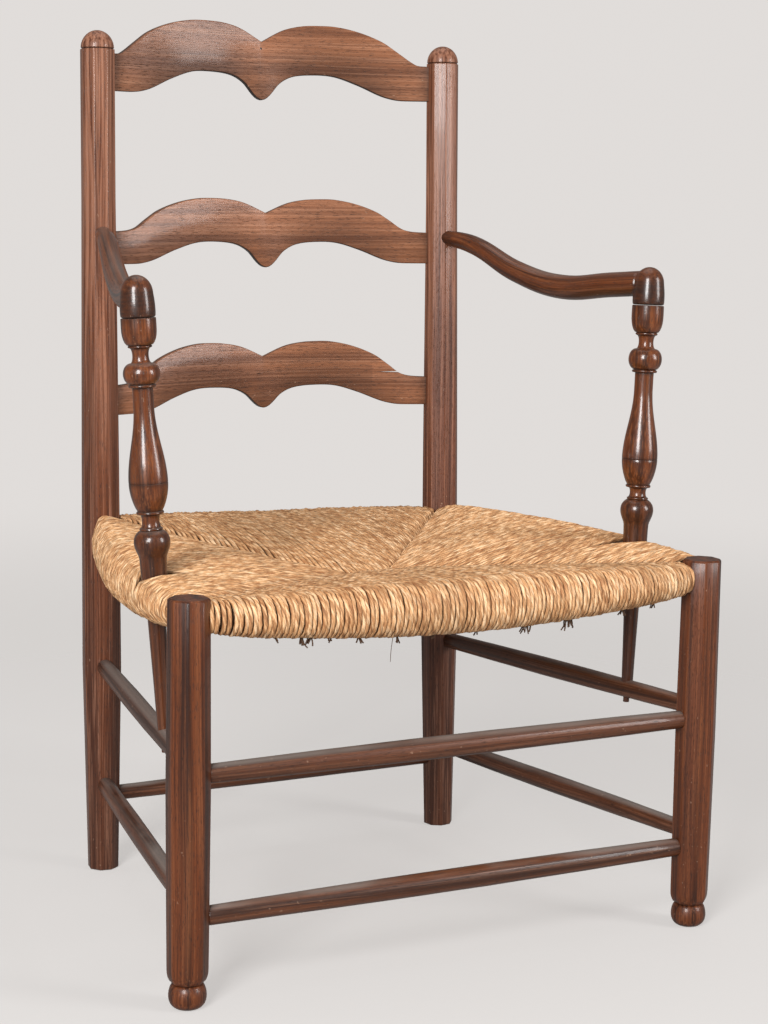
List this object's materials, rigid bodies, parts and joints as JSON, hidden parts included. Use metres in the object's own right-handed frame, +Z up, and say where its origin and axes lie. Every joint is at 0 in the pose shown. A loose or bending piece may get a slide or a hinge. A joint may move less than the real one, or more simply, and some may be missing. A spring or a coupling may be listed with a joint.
{
  "type": "ladderback armchair",
  "caption": "Ladderback armchair: shaped back slats between tall round posts, serpentine arms on turned supports, round stretchers and a woven rush seat.",
  "frame": {"origin": "on the floor, under the middle of the chair's bounding box", "axes": "+Z up, the chair's front faces -Y, +X to the right as seen from the front; left and right in the node names are as seen from the front"},
  "size_m": [0.6226, 0.5512, 0.9634],
  "materials": {
    "post_wood": "satin wax over dark red-brown hardwood, grain along the post",
    "leg_wood": "satin wax over dark red-brown hardwood, rubbed edges",
    "slat_wood": "satin wax over dark red-brown hardwood, grain along the slat",
    "peg_wood": "dark end grain",
    "arm_wood": "polished by hands, glossy dark red-brown hardwood",
    "rail_wood": "plain dry hardwood, hidden under the rush",
    "stretcher_wood": "satin wax over dark red-brown hardwood",
    "rush": "dry twisted rush cord, honey brown, matt with a slight sheen"
  },
  "bodies": {
    "root": {"rear_post_left": "post_wood", "rear_post_right": "post_wood", "front_leg_left": "leg_wood", "front_leg_right": "leg_wood", "top_slat": "slat_wood", "middle_slat": "slat_wood", "lower_slat": "slat_wood", "top_slat_peg": "peg_wood", "arm_left": "arm_wood", "arm_right": "arm_wood", "arm_support_left": "arm_wood", "arm_support_right": "arm_wood", "front_seat_rail": "rail_wood", "rear_seat_rail": "rail_wood", "left_seat_rail": "rail_wood", "right_seat_rail": "rail_wood", "front_upper_stretcher": "stretcher_wood", "front_lower_stretcher": "stretcher_wood", "rear_stretcher": "stretcher_wood", "left_upper_stretcher": "stretcher_wood", "right_upper_stretcher": "stretcher_wood", "left_lower_stretcher": "stretcher_wood", "right_lower_stretcher": "stretcher_wood", "rush_front": "rush", "rush_rear": "rush", "rush_left": "rush", "rush_right": "rush"}
  },
  "joints": []
}
